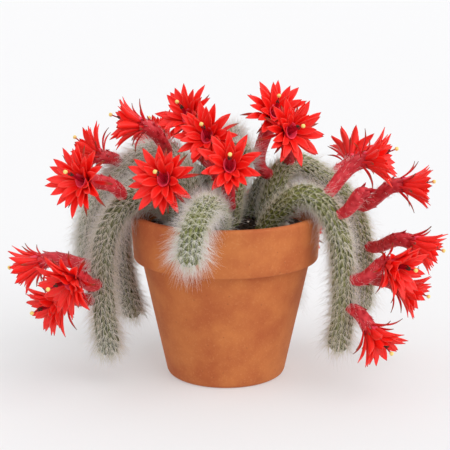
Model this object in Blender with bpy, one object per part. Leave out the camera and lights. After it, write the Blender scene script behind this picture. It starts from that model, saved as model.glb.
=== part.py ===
"""A trailing monkey's-tail cactus in a terracotta pot.

The pot stands on the floor with its axis on Z.  Ten stems root in the soil, arch over the rim and
hang down outside the pot.  Flowers grow from the stems: each is a curved tube with a crown of
pointed petals at its mouth.  Metres, +Z up, -Y is the front.
"""

import math

import bmesh
import bpy
from mathutils import Matrix, Vector
from mathutils.geometry import interpolate_bezier

# ---- pot -------------------------------------------------------------------------------------
RIM_RADIUS = 0.0700          # outside of the rim band, at the top
RIM_BAND_HEIGHT = 0.0343
RIM_BAND_TAPER = 0.0019      # how much narrower the band is at its lower edge
RIM_STEP = 0.0059            # how far the band stands out from the wall below it
RIM_ROUNDING = 0.0022
POT_HEIGHT = 0.1226
FOOT_RADIUS = 0.0441
FOOT_ROUNDING = 0.0035
WALL = 0.0060
FLOOR = 0.0080
DRAIN_RADIUS = 0.0070
POT_SIDES = 48

# ---- soil ------------------------------------------------------------------------------------
SOIL_BELOW_RIM = 0.0130
SOIL_DOME = 0.0020           # how much higher the soil is in the middle

# ---- stems -----------------------------------------------------------------------------------
STEM_RADIUS = 0.0095
ROOT_RADIUS_SHARE = 0.80     # the stem is thinner where it comes out of the soil
ROOT_DEPTH = 0.0080
STEM_SPACING = 0.0090        # distance between the rings of a stem
SWELL_RINGS = 4              # rings over which the stem swells to its full radius
STEM_SIDES = 10

# ---- flowers ---------------------------------------------------------------------------------
TUBE_BASE_RADIUS = 0.0046
TUBE_MOUTH_RADIUS = 0.0060
TUBE_BEND = 0.40             # how far the tube keeps its way out of the stem, as a share
TUBE_RINGS = 6
TUBE_SIDES = 8
PETALS = 9
PETAL_LENGTH = 0.0215
PETAL_NOTCH = 0.42           # where two petals part, as a share of their length
PETAL_THICKNESS = 0.0011
PETAL_CURL = math.radians(14)  # how much more the petal leans out at its tip than at its root
BUD_RADIUS = 0.0056

GAP = 0.0003                 # between pieces that touch
GOLDEN_ANGLE = math.radians(137.5)

# ---- places that follow from them ------------------------------------------------------------
BAND_FOOT = POT_HEIGHT - RIM_BAND_HEIGHT
NECK_RADIUS = RIM_RADIUS - RIM_BAND_TAPER - RIM_STEP
INNER_NECK_RADIUS = NECK_RADIUS - WALL
INNER_FOOT_RADIUS = FOOT_RADIUS - WALL
SOIL_TOP = POT_HEIGHT - SOIL_BELOW_RIM
SOIL_RADIUS = (INNER_NECK_RADIUS + (RIM_RADIUS - WALL - INNER_NECK_RADIUS)
               * (SOIL_TOP - BAND_FOOT) / RIM_BAND_HEIGHT - GAP)
HANG_RADIUS = RIM_RADIUS + STEM_RADIUS + GAP    # a stem that hangs against the rim
REST_HEIGHT = POT_HEIGHT + STEM_RADIUS + GAP    # a stem that lies on the rim

# Each stem: where it roots (azimuth in degrees, distance as a share of the soil's radius), then the
# points that it passes as (azimuth, share of HANG_RADIUS, share of REST_HEIGHT).
STEMS = {
    "left_front_stem": ((215, 0.66), [(204, 0.62, 1.02), (201, 0.83, 1.035), (201, 1.03, 0.96),
                                      (200, 1.15, 0.79), (200, 1.18, 0.57), (201, 1.17, 0.38),
                                      (202, 1.15, 0.23)]),
    "left_rear_stem": ((175, 0.70), [(164, 0.66, 0.99), (160, 0.86, 1.03), (159, 1.04, 0.93),
                                     (158, 1.10, 0.73), (157, 1.08, 0.48), (155, 1.02, 0.28)]),
    "left_back_stem": ((140, 0.60), [(134, 0.52, 1.05), (136, 0.72, 1.19), (140, 0.96, 1.19),
                                     (145, 1.23, 1.08), (150, 1.45, 0.92), (152, 1.55, 0.70),
                                     (153, 1.54, 0.47)]),
    "front_stem": ((262, 0.54), [(261, 0.58, 0.99), (259, 0.80, 1.045), (258, 1.02, 1.035),
                                 (257, 1.22, 0.96), (257, 1.33, 0.865)]),
    "centre_stem": ((315, 0.07), [(345, 0.06, 1.00), (10, 0.09, 1.13), (30, 0.16, 1.24)]),
    "right_front_stem": ((335, 0.60), [(335, 0.61, 1.00), (334, 0.80, 1.05), (334, 0.99, 0.99),
                                       (335, 1.10, 0.84), (336, 1.14, 0.64), (337, 1.14, 0.42),
                                       (337, 1.11, 0.25)]),
    "right_back_stem": ((29, 0.64), [(33, 0.55, 1.02), (34, 0.66, 1.12), (31, 0.83, 1.14),
                                     (27, 1.06, 1.05), (23, 1.27, 0.92), (21, 1.39, 0.74),
                                     (20, 1.43, 0.53), (20, 1.42, 0.31)]),
    "tall_back_stem": ((80, 0.38), [(82, 0.35, 1.02), (84, 0.42, 1.18), (85, 0.58, 1.28),
                                    (86, 0.79, 1.27), (87, 0.96, 1.15), (88, 1.03, 0.95),
                                    (88, 1.04, 0.72), (88, 1.01, 0.50)]),
    "back_right_stem": ((61, 0.74), [(60, 0.75, 1.00), (55, 0.89, 1.04), (54, 1.04, 0.93),
                                     (54, 1.12, 0.74), (54, 1.13, 0.50), (55, 1.10, 0.28)]),
    "back_left_stem": ((107, 0.73), [(109, 0.74, 1.01), (111, 0.88, 1.04), (112, 1.03, 0.94),
                                     (113, 1.08, 0.74), (113, 1.08, 0.48), (112, 1.05, 0.22)]),
}

# Each flower: its stem, the share of the stem's length where it grows, the way from there to its
# mouth (azimuth, elevation, distance), the way that it faces (azimuth, elevation), and how far its
# petals lean out from its axis, in degrees.
FLOWERS = [
    ("left_front_stem", 0.67, (161, -1, 0.0400), (182, -21), 34),
    ("left_front_stem", 0.73, (245, 20, 0.0300), (230, -15), 57),
    ("left_front_stem", 0.80, (193, 0, 0.0215), (220, -22), 50),
    ("left_front_stem", 0.38, (217, 23, 0.0312), (239, 13), 58),
    ("left_front_stem", 0.21, (266, 38, 0.0300), (254, 12), 60),
    ("left_back_stem", 0.54, (197, 17, 0.0156), (165, 25), 52),
    ("left_back_stem", 0.32, (226, 38, 0.0334), (183, 9), 42),
    ("left_back_stem", 0.36, (105, 3, 0.0245), (150, 45), 50),
    ("tall_back_stem", 0.25, (147, 53, 0.0420), (236, 30), 57),
    ("centre_stem", 0.66, (211, 67, 0.0332), (256, 22), 56),
    ("centre_stem", 0.39, (269, 48, 0.0455), (271, 20), 48),
    ("right_back_stem", 0.21, (64, 73, 0.0440), (280, 36), 56),
    ("right_back_stem", 0.28, (265, 38, 0.0402), (295, 6), 58),
    ("right_front_stem", 0.38, (15, 38, 0.0346), (345, 12), 46),
    ("right_back_stem", 0.48, (51, 23, 0.0243), (70, 40), 50),
    ("right_back_stem", 0.62, (324, 31, 0.0390), (351, -3), 32),
    ("right_back_stem", 0.77, (306, 15, 0.0460), (341, -22), 28),
    ("right_front_stem", 0.72, (326, 29, 0.0300), (311, -10), 48),
    ("right_back_stem", 0.89, (304, 2, 0.0320), (333, -24), 38),
    ("right_front_stem", 0.84, (312, -35, 0.0211), (308, -40), 42),
    ("tall_back_stem", 0.80, (92, 6, 0.0100), (90, 4), 68),
    ("back_right_stem", 0.72, (75, 15, 0.0140), (80, 8), 66),
    ("back_left_stem", 0.64, (108, 10, 0.0110), (104, 4), 68),
]

# The one closed bud: its stem, the share of its length, the way to its tip and the way that points.
BUD = ("right_front_stem", 0.46, (318, 34, 0.0262), (345, -52))


def clear_scene():
    for old in list(bpy.data.objects):
        bpy.data.objects.remove(old)


def material(name, colour, roughness):
    made = bpy.data.materials.new(name)
    made.use_nodes = True
    shader = made.node_tree.nodes["Principled BSDF"]
    shader.inputs["Base Color"].default_value = (*colour, 1.0)
    shader.inputs["Roughness"].default_value = roughness
    shader.inputs["Metallic"].default_value = 0.0
    return made


def add_object(name, shape, finish, sharp_over=40):
    """Turns a bmesh into a named object, shaded smooth apart from edges over this angle."""
    mesh = bpy.data.meshes.new(name)
    bmesh.ops.recalc_face_normals(shape, faces=shape.faces)
    shape.to_mesh(mesh)
    shape.free()
    mesh.shade_smooth()
    mesh.set_sharp_from_angle(angle=math.radians(sharp_over))
    made = bpy.data.objects.new(name, mesh)
    bpy.context.scene.collection.objects.link(made)
    if finish:
        mesh.materials.append(finish)
    return made


def direction(azimuth, elevation):
    """The unit vector at these two angles in degrees."""
    turn, rise = math.radians(azimuth), math.radians(elevation)
    return Vector((math.cos(turn) * math.cos(rise), math.sin(turn) * math.cos(rise), math.sin(rise)))


# ---- pot and soil ----------------------------------------------------------------------------

def rounded(corner, before, after, radius, steps=3):
    """An arc of this radius that takes the place of a profile's corner."""
    corner, before, after = Vector(corner), Vector(before), Vector(after)
    to_before = (before - corner).normalized()
    to_after = (after - corner).normalized()
    half_angle = to_before.angle(to_after) / 2
    centre = corner + (to_before + to_after).normalized() * radius / math.sin(half_angle)
    start = (corner + to_before * radius / math.tan(half_angle) - centre).normalized()
    end = (corner + to_after * radius / math.tan(half_angle) - centre).normalized()
    return [tuple(centre + start.slerp(end, step / steps) * radius) for step in range(steps + 1)]


def turned(profile):
    """Spins a profile of (radius, height) points about Z; its ends close on the axis or on each other."""
    shape = bmesh.new()
    points = [shape.verts.new((radius, 0, height)) for radius, height in profile]
    edges = [shape.edges.new(pair) for pair in zip(points, points[1:])]
    if profile[0][0] > 0:
        edges.append(shape.edges.new((points[-1], points[0])))
    bmesh.ops.spin(shape, geom=points + edges, cent=(0, 0, 0), axis=(0, 0, 1),
                   angle=2 * math.pi, steps=POT_SIDES, use_merge=True)
    bmesh.ops.remove_doubles(shape, verts=shape.verts, dist=1e-6)
    return shape


def inside_wall(height):
    """The pot's inner radius at this height."""
    if height < BAND_FOOT:
        share = (height - FLOOR) / (BAND_FOOT - FLOOR)
        return INNER_FOOT_RADIUS + (INNER_NECK_RADIUS - INNER_FOOT_RADIUS) * share
    share = (height - BAND_FOOT) / RIM_BAND_HEIGHT
    return INNER_NECK_RADIUS + (RIM_RADIUS - WALL - INNER_NECK_RADIUS) * share


def make_pot(finish):
    """The fired pot: a tapered wall, a rim band that stands out, and a floor with a drain hole."""
    top_out, top_in = (RIM_RADIUS, POT_HEIGHT), (RIM_RADIUS - WALL, POT_HEIGHT)
    band_low = (RIM_RADIUS - RIM_BAND_TAPER, BAND_FOOT)
    neck, neck_in = (NECK_RADIUS, BAND_FOOT), (INNER_NECK_RADIUS, BAND_FOOT)
    foot, floor_edge = (FOOT_RADIUS, 0), (INNER_FOOT_RADIUS, FLOOR)
    drain_low, drain_high = (DRAIN_RADIUS, 0), (DRAIN_RADIUS, FLOOR)
    profile = rounded(top_out, top_in, band_low, RIM_ROUNDING)
    profile += rounded(band_low, top_out, neck, RIM_ROUNDING / 2, 2)
    profile += [neck]
    profile += rounded(foot, neck, drain_low, FOOT_ROUNDING)
    profile += [drain_low, drain_high]
    profile += rounded(floor_edge, drain_high, neck_in, FOOT_ROUNDING, 2)
    profile += [neck_in]
    profile += rounded(top_in, neck_in, top_out, RIM_ROUNDING)
    return add_object("terracotta_pot", turned(profile), finish)


def soil_height(distance):
    """The height of the soil's gently domed top at this distance from the axis."""
    return SOIL_TOP + SOIL_DOME * (1 - (distance / SOIL_RADIUS) ** 2)


def make_soil(finish, routes):
    """The soil: it fills the pot with a hair of clearance and has a pocket for each stem."""
    profile = [(0, soil_height(0))]
    profile += [(SOIL_RADIUS * share, soil_height(SOIL_RADIUS * share)) for share in (0.5, 0.8, 1.0)]
    profile += [(inside_wall(BAND_FOOT) - GAP, BAND_FOOT)]
    floor_edge = (INNER_FOOT_RADIUS - GAP, FLOOR + GAP)
    profile += rounded(floor_edge, profile[-1], (0, FLOOR + GAP), FOOT_ROUNDING, 2)
    profile += [(0, FLOOR + GAP)]
    soil = add_object("potting_soil", turned(profile), finish)
    pockets = bmesh.new()
    for route in routes.values():
        sweep(pockets, pocket_rings(route), STEM_SIDES)
    cutter = add_object("root_pockets", pockets, None)
    cutter.hide_render = True
    cutter.display_type = "WIRE"
    cut = soil.modifiers.new("pockets", "BOOLEAN")
    cut.operation = "DIFFERENCE"
    cut.object = cutter
    cut.use_self = True      # the pockets stay sound where thicker stems run into each other
    return soil


# ---- swept bodies ----------------------------------------------------------------------------

def smooth_route(passes, spacing):
    """A smooth curve through these points, as points about this far apart."""
    fine = []
    for index in range(len(passes) - 1):
        here, there = passes[index], passes[index + 1]
        before = passes[max(index - 1, 0)]
        after = passes[min(index + 2, len(passes) - 1)]
        fine += interpolate_bezier(here, here + (there - before) / 6, there - (after - here) / 6, there, 12)
    lengths = [0.0]
    for here, there in zip(fine, fine[1:]):
        lengths.append(lengths[-1] + (there - here).length)
    count = round(lengths[-1] / spacing)
    return [at_length(fine, lengths, lengths[-1] * step / count) for step in range(count + 1)]


def at_length(points, lengths, wanted):
    """The point at this length along a line of points."""
    for index in range(1, len(points)):
        if lengths[index] >= wanted and lengths[index] > lengths[index - 1]:
            share = (wanted - lengths[index - 1]) / (lengths[index] - lengths[index - 1])
            return points[index - 1].lerp(points[index], share)
    return points[-1].copy()


def tangent(route, index):
    return (route[min(index + 1, len(route) - 1)] - route[max(index - 1, 0)]).normalized()


def along(route, share):
    """The point and the direction at this share of an evenly spaced route."""
    place = min(share, 0.999) * (len(route) - 1)
    index = int(place)
    return route[index].lerp(route[index + 1], place - index), (route[index + 1] - route[index]).normalized()


def domed_end(centre, heading, radius):
    """The rings (centre, heading, radius) that round off the end of a tube."""
    shares = (0.45, 0.78, 0.96)
    return [(centre + heading * radius * share, heading, radius * math.sqrt(1 - share * share))
            for share in shares]


def sweep(shape, rings, sides):
    """Adds a closed tube through these rings to the bmesh."""
    turn = rings[0][1].to_track_quat("Z", "Y")
    heading = rings[0][1]
    loops = []
    for centre, new_heading, radius in rings:
        turn = heading.rotation_difference(new_heading) @ turn
        heading = new_heading
        place = Matrix.Translation(centre) @ turn.to_matrix().to_4x4()
        loops.append(bmesh.ops.create_circle(shape, segments=sides, radius=radius, matrix=place)["verts"])
    for low, high in zip(loops, loops[1:]):
        for side in range(sides):
            after = (side + 1) % sides
            shape.faces.new((low[side], low[after], high[after], high[side]))
    shape.faces.new(loops[0][::-1])
    shape.faces.new(loops[-1])


# ---- stems -----------------------------------------------------------------------------------

def stem_route(root, passes):
    """The centre line of a stem, from the bottom of its pocket to the middle of its tip."""
    azimuth, share = root
    distance = (SOIL_RADIUS - STEM_RADIUS) * share
    root_point = direction(azimuth, 0) * distance
    surface = soil_height(distance)
    points = [root_point + Vector((0, 0, surface - ROOT_DEPTH)), root_point + Vector((0, 0, surface))]
    for turn, out, up in passes:
        points.append(direction(turn, 0) * HANG_RADIUS * out + Vector((0, 0, REST_HEIGHT * up)))
    return smooth_route(points, STEM_SPACING)


def stem_radius(index):
    """The stem swells from its root to its full radius over the first few rings."""
    share = min(index / SWELL_RINGS, 1.0)
    return STEM_RADIUS * (ROOT_RADIUS_SHARE + (1 - ROOT_RADIUS_SHARE) * share)


def stem_rings(route):
    rings = [(centre, tangent(route, index), stem_radius(index)) for index, centre in enumerate(route)]
    return rings + domed_end(*rings[-1])


def pocket_rings(route):
    """A pocket follows the stem's first rings, wider by the clearance, and starts just below it."""
    rings = [(centre, heading, radius + GAP) for centre, heading, radius in stem_rings(route)[:3]]
    centre, heading, radius = rings[0]
    return [(centre - heading * GAP, heading, radius)] + rings


def make_stems(finish, routes):
    for name, route in routes.items():
        shape = bmesh.new()
        sweep(shape, stem_rings(route), STEM_SIDES)
        add_object(name, shape, finish, 60)


# ---- flowers ---------------------------------------------------------------------------------

def flower_route(route, share, reach, faces):
    """A flower's centre line, as (points, headings): square out of the stem, then round to its face."""
    azimuth, elevation, distance = reach
    centre, stem_heading = along(route, share)
    way, facing = direction(azimuth, elevation), direction(*faces)
    out = (way - stem_heading * way.dot(stem_heading)).normalized()
    start = centre + out * (STEM_RADIUS + GAP)
    mouth = start + way * distance
    after_start = start + out * distance * TUBE_BEND
    before_mouth = mouth - facing * distance * TUBE_BEND
    points = interpolate_bezier(start, after_start, before_mouth, mouth, TUBE_RINGS)
    headings = [tangent(points, index) for index in range(TUBE_RINGS)]
    return points, [out] + headings[1:-1] + [facing]


def tube_radii():
    """The tube widens from the stem to its mouth."""
    shares = [index / (TUBE_RINGS - 1) for index in range(TUBE_RINGS)]
    return [TUBE_BASE_RADIUS + (TUBE_MOUTH_RADIUS - TUBE_BASE_RADIUS) * share for share in shares]


def bud_radii():
    """The bud is thickest past its middle and comes to a blunt point."""
    return [BUD_RADIUS * share for share in (0.70, 0.85, 0.96, 1.00, 0.88, 0.30)]


def flower_body(name, points, headings, radii, finish):
    shape = bmesh.new()
    sweep(shape, list(zip(points, headings, radii)), TUBE_SIDES)
    return add_object(name, shape, finish, 60)


def petal_point(angle, length, reach, lean, side):
    """A point of the crown in its own frame.

    reach runs from 0 at the throat to 1 at the petal's end; side is 0 on the back and 1 on the face.
    """
    inner, outer = lean - PETAL_CURL / 2, lean + PETAL_CURL / 2
    first, second = min(reach, 0.5) * length, max(reach - 0.5, 0) * length
    radius = TUBE_MOUTH_RADIUS + first * math.sin(inner) + second * math.sin(outer)
    height = first * math.cos(inner) + second * math.cos(outer)
    if reach > 0:
        radius -= side * PETAL_THICKNESS * math.cos(inner)
        height += side * PETAL_THICKNESS * math.sin(inner)
    else:
        height += side * PETAL_THICKNESS
    return Vector((radius * math.cos(angle), radius * math.sin(angle), height))


def make_crown(name, mouth, facing, lean, turn, finish):
    """The crown of petals: a thin star-shaped dish whose back seats on the tube's mouth."""
    place = Matrix.Translation(mouth + facing * GAP) @ facing.to_track_quat("Z", "Y").to_matrix().to_4x4()
    shape = bmesh.new()
    loops = []
    for share, side in ((0, 0), (0.5, 0), (1, 0), (1, 1), (0.5, 1), (0, 1)):
        loop = []
        for corner in range(2 * PETALS):
            reach = share * (PETAL_NOTCH if corner % 2 else 1)
            angle = turn + math.pi * corner / PETALS
            loop.append(shape.verts.new(place @ petal_point(angle, PETAL_LENGTH, reach, lean, side)))
        loops.append(loop)
    for near, far in zip(loops, loops[1:]):
        for corner in range(2 * PETALS):
            after = (corner + 1) % (2 * PETALS)
            shape.faces.new((near[corner], near[after], far[after], far[corner]))
    shape.faces.new(loops[0])
    shape.faces.new(loops[-1])
    return add_object(name, shape, finish, 50)


def make_flowers(tube_finish, petal_finish, routes):
    for number, (stem, share, reach, faces, lean) in enumerate(FLOWERS, 1):
        points, headings = flower_route(routes[stem], share, reach, faces)
        name = f"flower_{number:02d}"
        flower_body(f"{name}_tube", points, headings, tube_radii(), tube_finish)
        turn = number * GOLDEN_ANGLE
        make_crown(f"{name}_petals", points[-1], headings[-1], math.radians(lean), turn, petal_finish)


def make_bud(finish, routes):
    stem, share, reach, faces = BUD
    points, headings = flower_route(routes[stem], share, reach, faces)
    flower_body("flower_bud", points, headings, bud_radii(), finish)


def main():
    clear_scene()
    terracotta = material("terracotta", (0.50, 0.17, 0.06), 0.85)
    peat = material("potting soil", (0.03, 0.02, 0.015), 0.95)
    skin = material("hairy stem", (0.30, 0.32, 0.18), 0.80)
    tube_skin = material("flower tube", (0.45, 0.02, 0.04), 0.60)
    petal = material("red petal", (0.80, 0.02, 0.02), 0.45)
    routes = {name: stem_route(root, passes) for name, (root, passes) in STEMS.items()}
    make_pot(terracotta)
    make_soil(peat, routes)
    make_stems(skin, routes)
    make_flowers(tube_skin, petal, routes)
    make_bud(petal, routes)


main()
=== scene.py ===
import math

import bmesh
import bpy
import numpy as np
from mathutils import Matrix, Vector, noise
from mathutils.geometry import interpolate_bezier


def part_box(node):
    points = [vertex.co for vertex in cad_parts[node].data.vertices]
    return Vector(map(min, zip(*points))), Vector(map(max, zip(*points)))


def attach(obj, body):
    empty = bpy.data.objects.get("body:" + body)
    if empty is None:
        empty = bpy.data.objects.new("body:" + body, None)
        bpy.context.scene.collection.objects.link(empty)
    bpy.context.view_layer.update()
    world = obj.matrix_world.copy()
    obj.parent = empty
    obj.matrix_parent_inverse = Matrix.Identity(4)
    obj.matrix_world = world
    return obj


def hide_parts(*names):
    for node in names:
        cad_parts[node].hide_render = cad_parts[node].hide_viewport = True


# A monkey's-tail cactus in a clay pot: ten hairy trailing stems, 23 red flowers and a bud.
# Metres, +Z up, the front faces -Y.
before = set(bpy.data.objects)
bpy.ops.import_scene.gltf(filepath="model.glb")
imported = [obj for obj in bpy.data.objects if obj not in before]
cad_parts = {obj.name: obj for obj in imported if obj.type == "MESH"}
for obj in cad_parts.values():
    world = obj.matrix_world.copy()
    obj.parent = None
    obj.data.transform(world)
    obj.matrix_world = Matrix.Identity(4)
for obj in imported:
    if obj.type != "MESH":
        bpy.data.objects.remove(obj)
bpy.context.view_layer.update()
print("frame loaded")

scene = bpy.context.scene
potLow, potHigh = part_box("terracotta_pot")
soilLow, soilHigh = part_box("potting_soil")
potHeight = potHigh.z
rimRadius = (potHigh.x - potLow.x) / 2
soilRadius = (soilHigh.x - soilLow.x) / 2
hangRadius = rimRadius + 0.00995     # the axis of a stem that hangs against the rim
restHeight = potHeight + 0.0098      # the axis of a stem that lies on the rim
dice = np.random.default_rng(7)


def linearColour(hexText):
    channels = [int(hexText[at:at + 2], 16) / 255 for at in (1, 3, 5)]
    return [c / 12.92 if c <= 0.04045 else ((c + 0.055) / 1.055) ** 2.4 for c in channels] + [1.0]


def addNode(tree, kind, links=(), values=(), **settings):
    node = tree.nodes.new("ShaderNode" + kind)
    for setting, value in settings.items():
        setattr(node, setting, value)
    for socket, value in dict(values).items():
        node.inputs[socket].default_value = value
    for socket, source in dict(links).items():
        tree.links.new(source, node.inputs[socket])
    return node


def newMaterial(name, values):
    made = bpy.data.materials.new(name)
    made.use_nodes = True
    shader = made.node_tree.nodes["Principled BSDF"]
    for socket, value in values.items():
        shader.inputs[socket].default_value = value
    return made, made.node_tree, shader


def directionOf(azimuth, elevation):
    turn, rise = math.radians(azimuth), math.radians(elevation)
    return Vector((math.cos(turn) * math.cos(rise), math.sin(turn) * math.cos(rise), math.sin(rise)))


def unit(vectors):
    return vectors / np.linalg.norm(vectors, axis=1, keepdims=True)


def addPiece(name, mesh, finishes, node):
    piece = bpy.data.objects.new(name, mesh)
    scene.collection.objects.link(piece)
    for finish in finishes:
        mesh.materials.append(finish)
    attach(piece, "root")
    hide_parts(node)
    return piece


def ringProfile(name, radii):
    # the cross-section that a curve is swept with
    curve = bpy.data.curves.new(name, "CURVE")
    curve.dimensions = "2D"
    spline = curve.splines.new("POLY")
    spline.points.add(len(radii) - 1)
    for step, radius in enumerate(radii):
        turn = 2 * math.pi * step / len(radii)
        spline.points[step].co = (radius * math.cos(turn), radius * math.sin(turn), 0, 1)
    spline.use_cyclic_u = True
    return bpy.data.objects.new(name, curve)


def sweptMesh(name, profile, paths, widths):
    # one closed tube per path; paths is (count, points, 3) and widths (count, points)
    curve = bpy.data.curves.new(name, "CURVE")
    curve.dimensions = "3D"
    curve.bevel_mode = "OBJECT"
    curve.bevel_object = profile
    curve.use_fill_caps = True
    for path, width in zip(paths, widths):
        spline = curve.splines.new("POLY")
        spline.points.add(len(path) - 1)
        spline.points.foreach_set("co", np.hstack([path, np.ones((len(path), 1))]).ravel())
        spline.points.foreach_set("radius", np.asarray(width, float))
    rope = bpy.data.objects.new(name, curve)
    scene.collection.objects.link(rope)
    bpy.context.view_layer.update()
    mesh = bpy.data.meshes.new_from_object(rope.evaluated_get(bpy.context.evaluated_depsgraph_get()))
    bpy.data.objects.remove(rope)
    bpy.data.curves.remove(curve)
    mesh.name = name
    mesh.materials.clear()
    return mesh


def addSwept(shape, mesh, finish):
    # adds a swept mesh to a shape that is being made, and closes the seams of its ends
    before = set(shape.faces)
    shape.from_mesh(mesh)
    bpy.data.meshes.remove(mesh)
    grown = set(shape.faces) - before
    for face in grown:
        face.material_index = finish
    bmesh.ops.remove_doubles(shape, verts=list({v for f in grown for v in f.verts}), dist=2e-7)


def closeSeams(mesh):
    shape = bmesh.new()
    shape.from_mesh(mesh)
    bmesh.ops.remove_doubles(shape, verts=shape.verts, dist=2e-7)
    shape.to_mesh(mesh)
    shape.free()
    mesh.shade_smooth()


hairRing = ringProfile("hair section", [1.0] * 3)
roundRing = ringProfile("round section", [1.0] * 14)
threadRing = ringProfile("thread section", [1.0] * 6)


def makeTerracotta():
    # kiln-fired clay, pressed and left unglazed: matt orange, cloudy, with small pits and pale specks
    made, tree, shader = newMaterial("fired terracotta, unglazed", {"Roughness": 0.82, "IOR": 1.5})
    spot = addNode(tree, "TexCoord").outputs["Object"]
    clouds = addNode(tree, "TexNoise", {"Vector": spot}, {"Scale": 38.0, "Detail": 4.0, "Roughness": 0.6})
    grain = addNode(tree, "TexNoise", {"Vector": spot}, {"Scale": 700.0, "Detail": 3.0})
    pits = addNode(tree, "TexVoronoi", {"Vector": spot}, {"Scale": 150.0})
    cloudShare = addNode(tree, "MapRange", {"Value": clouds.outputs["Fac"]},
                         {"From Min": 0.35, "From Max": 0.68})
    base = addNode(tree, "Mix", {0: cloudShare.outputs[0]},
                   {6: linearColour("#B05A2A"), 7: linearColour("#C6743A")}, data_type="RGBA")
    grainShare = addNode(tree, "MapRange", {"Value": grain.outputs["Fac"]},
                         {"From Min": 0.55, "From Max": 0.75, "To Max": 0.35})
    speckled = addNode(tree, "Mix", {0: grainShare.outputs[0], 6: base.outputs[2]},
                       {7: linearColour("#D08C54")}, data_type="RGBA")
    pitShare = addNode(tree, "MapRange", {"Value": pits.outputs["Distance"]},
                       {"From Min": 0.05, "From Max": 0.09, "To Min": 0.5, "To Max": 0.0})
    pitted = addNode(tree, "Mix", {0: pitShare.outputs[0], 6: speckled.outputs[2]},
                     {7: linearColour("#7A3E22")}, data_type="RGBA")
    bump = addNode(tree, "Bump", {"Height": grain.outputs["Fac"]}, {"Strength": 0.25, "Distance": 0.0004})
    tree.links.new(pitted.outputs[2], shader.inputs["Base Color"])
    tree.links.new(bump.outputs[0], shader.inputs["Normal"])
    return made


def makeSoil():
    # moist peat and bark fines: dark brown, with paler crumbs
    made, tree, shader = newMaterial("moist peat with bark fines", {"Roughness": 0.95, "IOR": 1.4})
    spot = addNode(tree, "TexCoord").outputs["Object"]
    crumbs = addNode(tree, "TexNoise", {"Vector": spot}, {"Scale": 420.0, "Detail": 5.0})
    share = addNode(tree, "MapRange", {"Value": crumbs.outputs["Fac"]}, {"From Min": 0.42, "From Max": 0.70})
    tone = addNode(tree, "Mix", {0: share.outputs[0]},
                   {6: linearColour("#1A130C"), 7: linearColour("#40301F")}, data_type="RGBA")
    tree.links.new(tone.outputs[2], shader.inputs["Base Color"])
    return made


ribs = 14
mapLength = 0.32          # stem length that fills the map from end to end


def makeStemSkin(name, shadeBetweenRibs, crest, patch):
    # living cactus skin: painted shade darkens it between the ribs, and it is paler on the rib crests
    made, tree, shader = newMaterial(name, {"Roughness": 0.6, "IOR": 1.4})
    places = addNode(tree, "SeparateXYZ", {0: addNode(tree, "UVMap", uv_map="skin").outputs[0]})
    ribTurn = addNode(tree, "Math", {0: places.outputs[0]}, {1: ribs * 2 * math.pi}, operation="MULTIPLY")
    ribWave = addNode(tree, "Math", {0: ribTurn.outputs[0]}, operation="COSINE")
    spot = addNode(tree, "TexCoord").outputs["Object"]
    patches = addNode(tree, "TexNoise", {"Vector": spot}, {"Scale": 90.0, "Detail": 3.0})
    # painted shade: the first colour darkens the grooves between the ribs, the second lightens the crests
    ribShadeShare = addNode(tree, "MapRange", {"Value": ribWave.outputs[0]}, {"From Min": -1.0, "From Max": 0.8})
    tone = addNode(tree, "Mix", {0: ribShadeShare.outputs[0]},
                   {6: linearColour(shadeBetweenRibs), 7: linearColour(crest)}, data_type="RGBA")
    patchShare = addNode(tree, "MapRange", {"Value": patches.outputs["Fac"]},
                         {"From Min": 0.4, "From Max": 0.7, "To Max": 0.45})
    patched = addNode(tree, "Mix", {0: patchShare.outputs[0], 6: tone.outputs[2]},
                      {7: linearColour(patch)}, data_type="RGBA")
    tree.links.new(patched.outputs[2], shader.inputs["Base Color"])
    return made


tones = 48                # shades of hair, one column of the map each


def makeHair(name, root, middle, tip, warm):
    # fine dry plant hair that lets light through: darker at the root as painted shade where the hairs crowd
    # the skin, bleached towards the tip
    made, tree, shader = newMaterial(name, {"Roughness": 0.5, "IOR": 1.5, "Subsurface Weight": 0.8,
                                            "Subsurface Radius": (1.0, 0.95, 0.85),
                                            "Subsurface Scale": 0.0008})
    places = addNode(tree, "SeparateXYZ", {0: addNode(tree, "UVMap", uv_map="strand").outputs[0]})
    column = addNode(tree, "Math", {0: places.outputs[0]}, {1: tones}, operation="MULTIPLY")
    whole = addNode(tree, "Math", {0: column.outputs[0]}, operation="FLOOR")
    shade = addNode(tree, "TexWhiteNoise", {"W": whole.outputs[0]}, noise_dimensions="1D")
    # painted shade: the root colour darkens the lower part of each hair
    rootShadeShare = addNode(tree, "MapRange", {"Value": places.outputs[1]}, {"From Max": 0.4})
    upper = addNode(tree, "MapRange", {"Value": places.outputs[1]}, {"From Min": 0.4, "From Max": 1.0})
    shadedStalk = addNode(tree, "Mix", {0: rootShadeShare.outputs[0]},
                    {6: linearColour(root), 7: linearColour(middle)}, data_type="RGBA")
    bleached = addNode(tree, "Mix", {0: upper.outputs[0], 6: shadedStalk.outputs[2]},
                     {7: linearColour(tip)}, data_type="RGBA")
    shadeShare = addNode(tree, "MapRange", {"Value": shade.outputs[0]}, {"To Max": 0.55})
    varied = addNode(tree, "Mix", {0: shadeShare.outputs[0], 6: bleached.outputs[2]},
                     {7: linearColour(warm)}, data_type="RGBA")
    tree.links.new(varied.outputs[2], shader.inputs["Base Color"])
    return made


cells = 6                 # the petal map has six by six cells, one petal each


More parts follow.
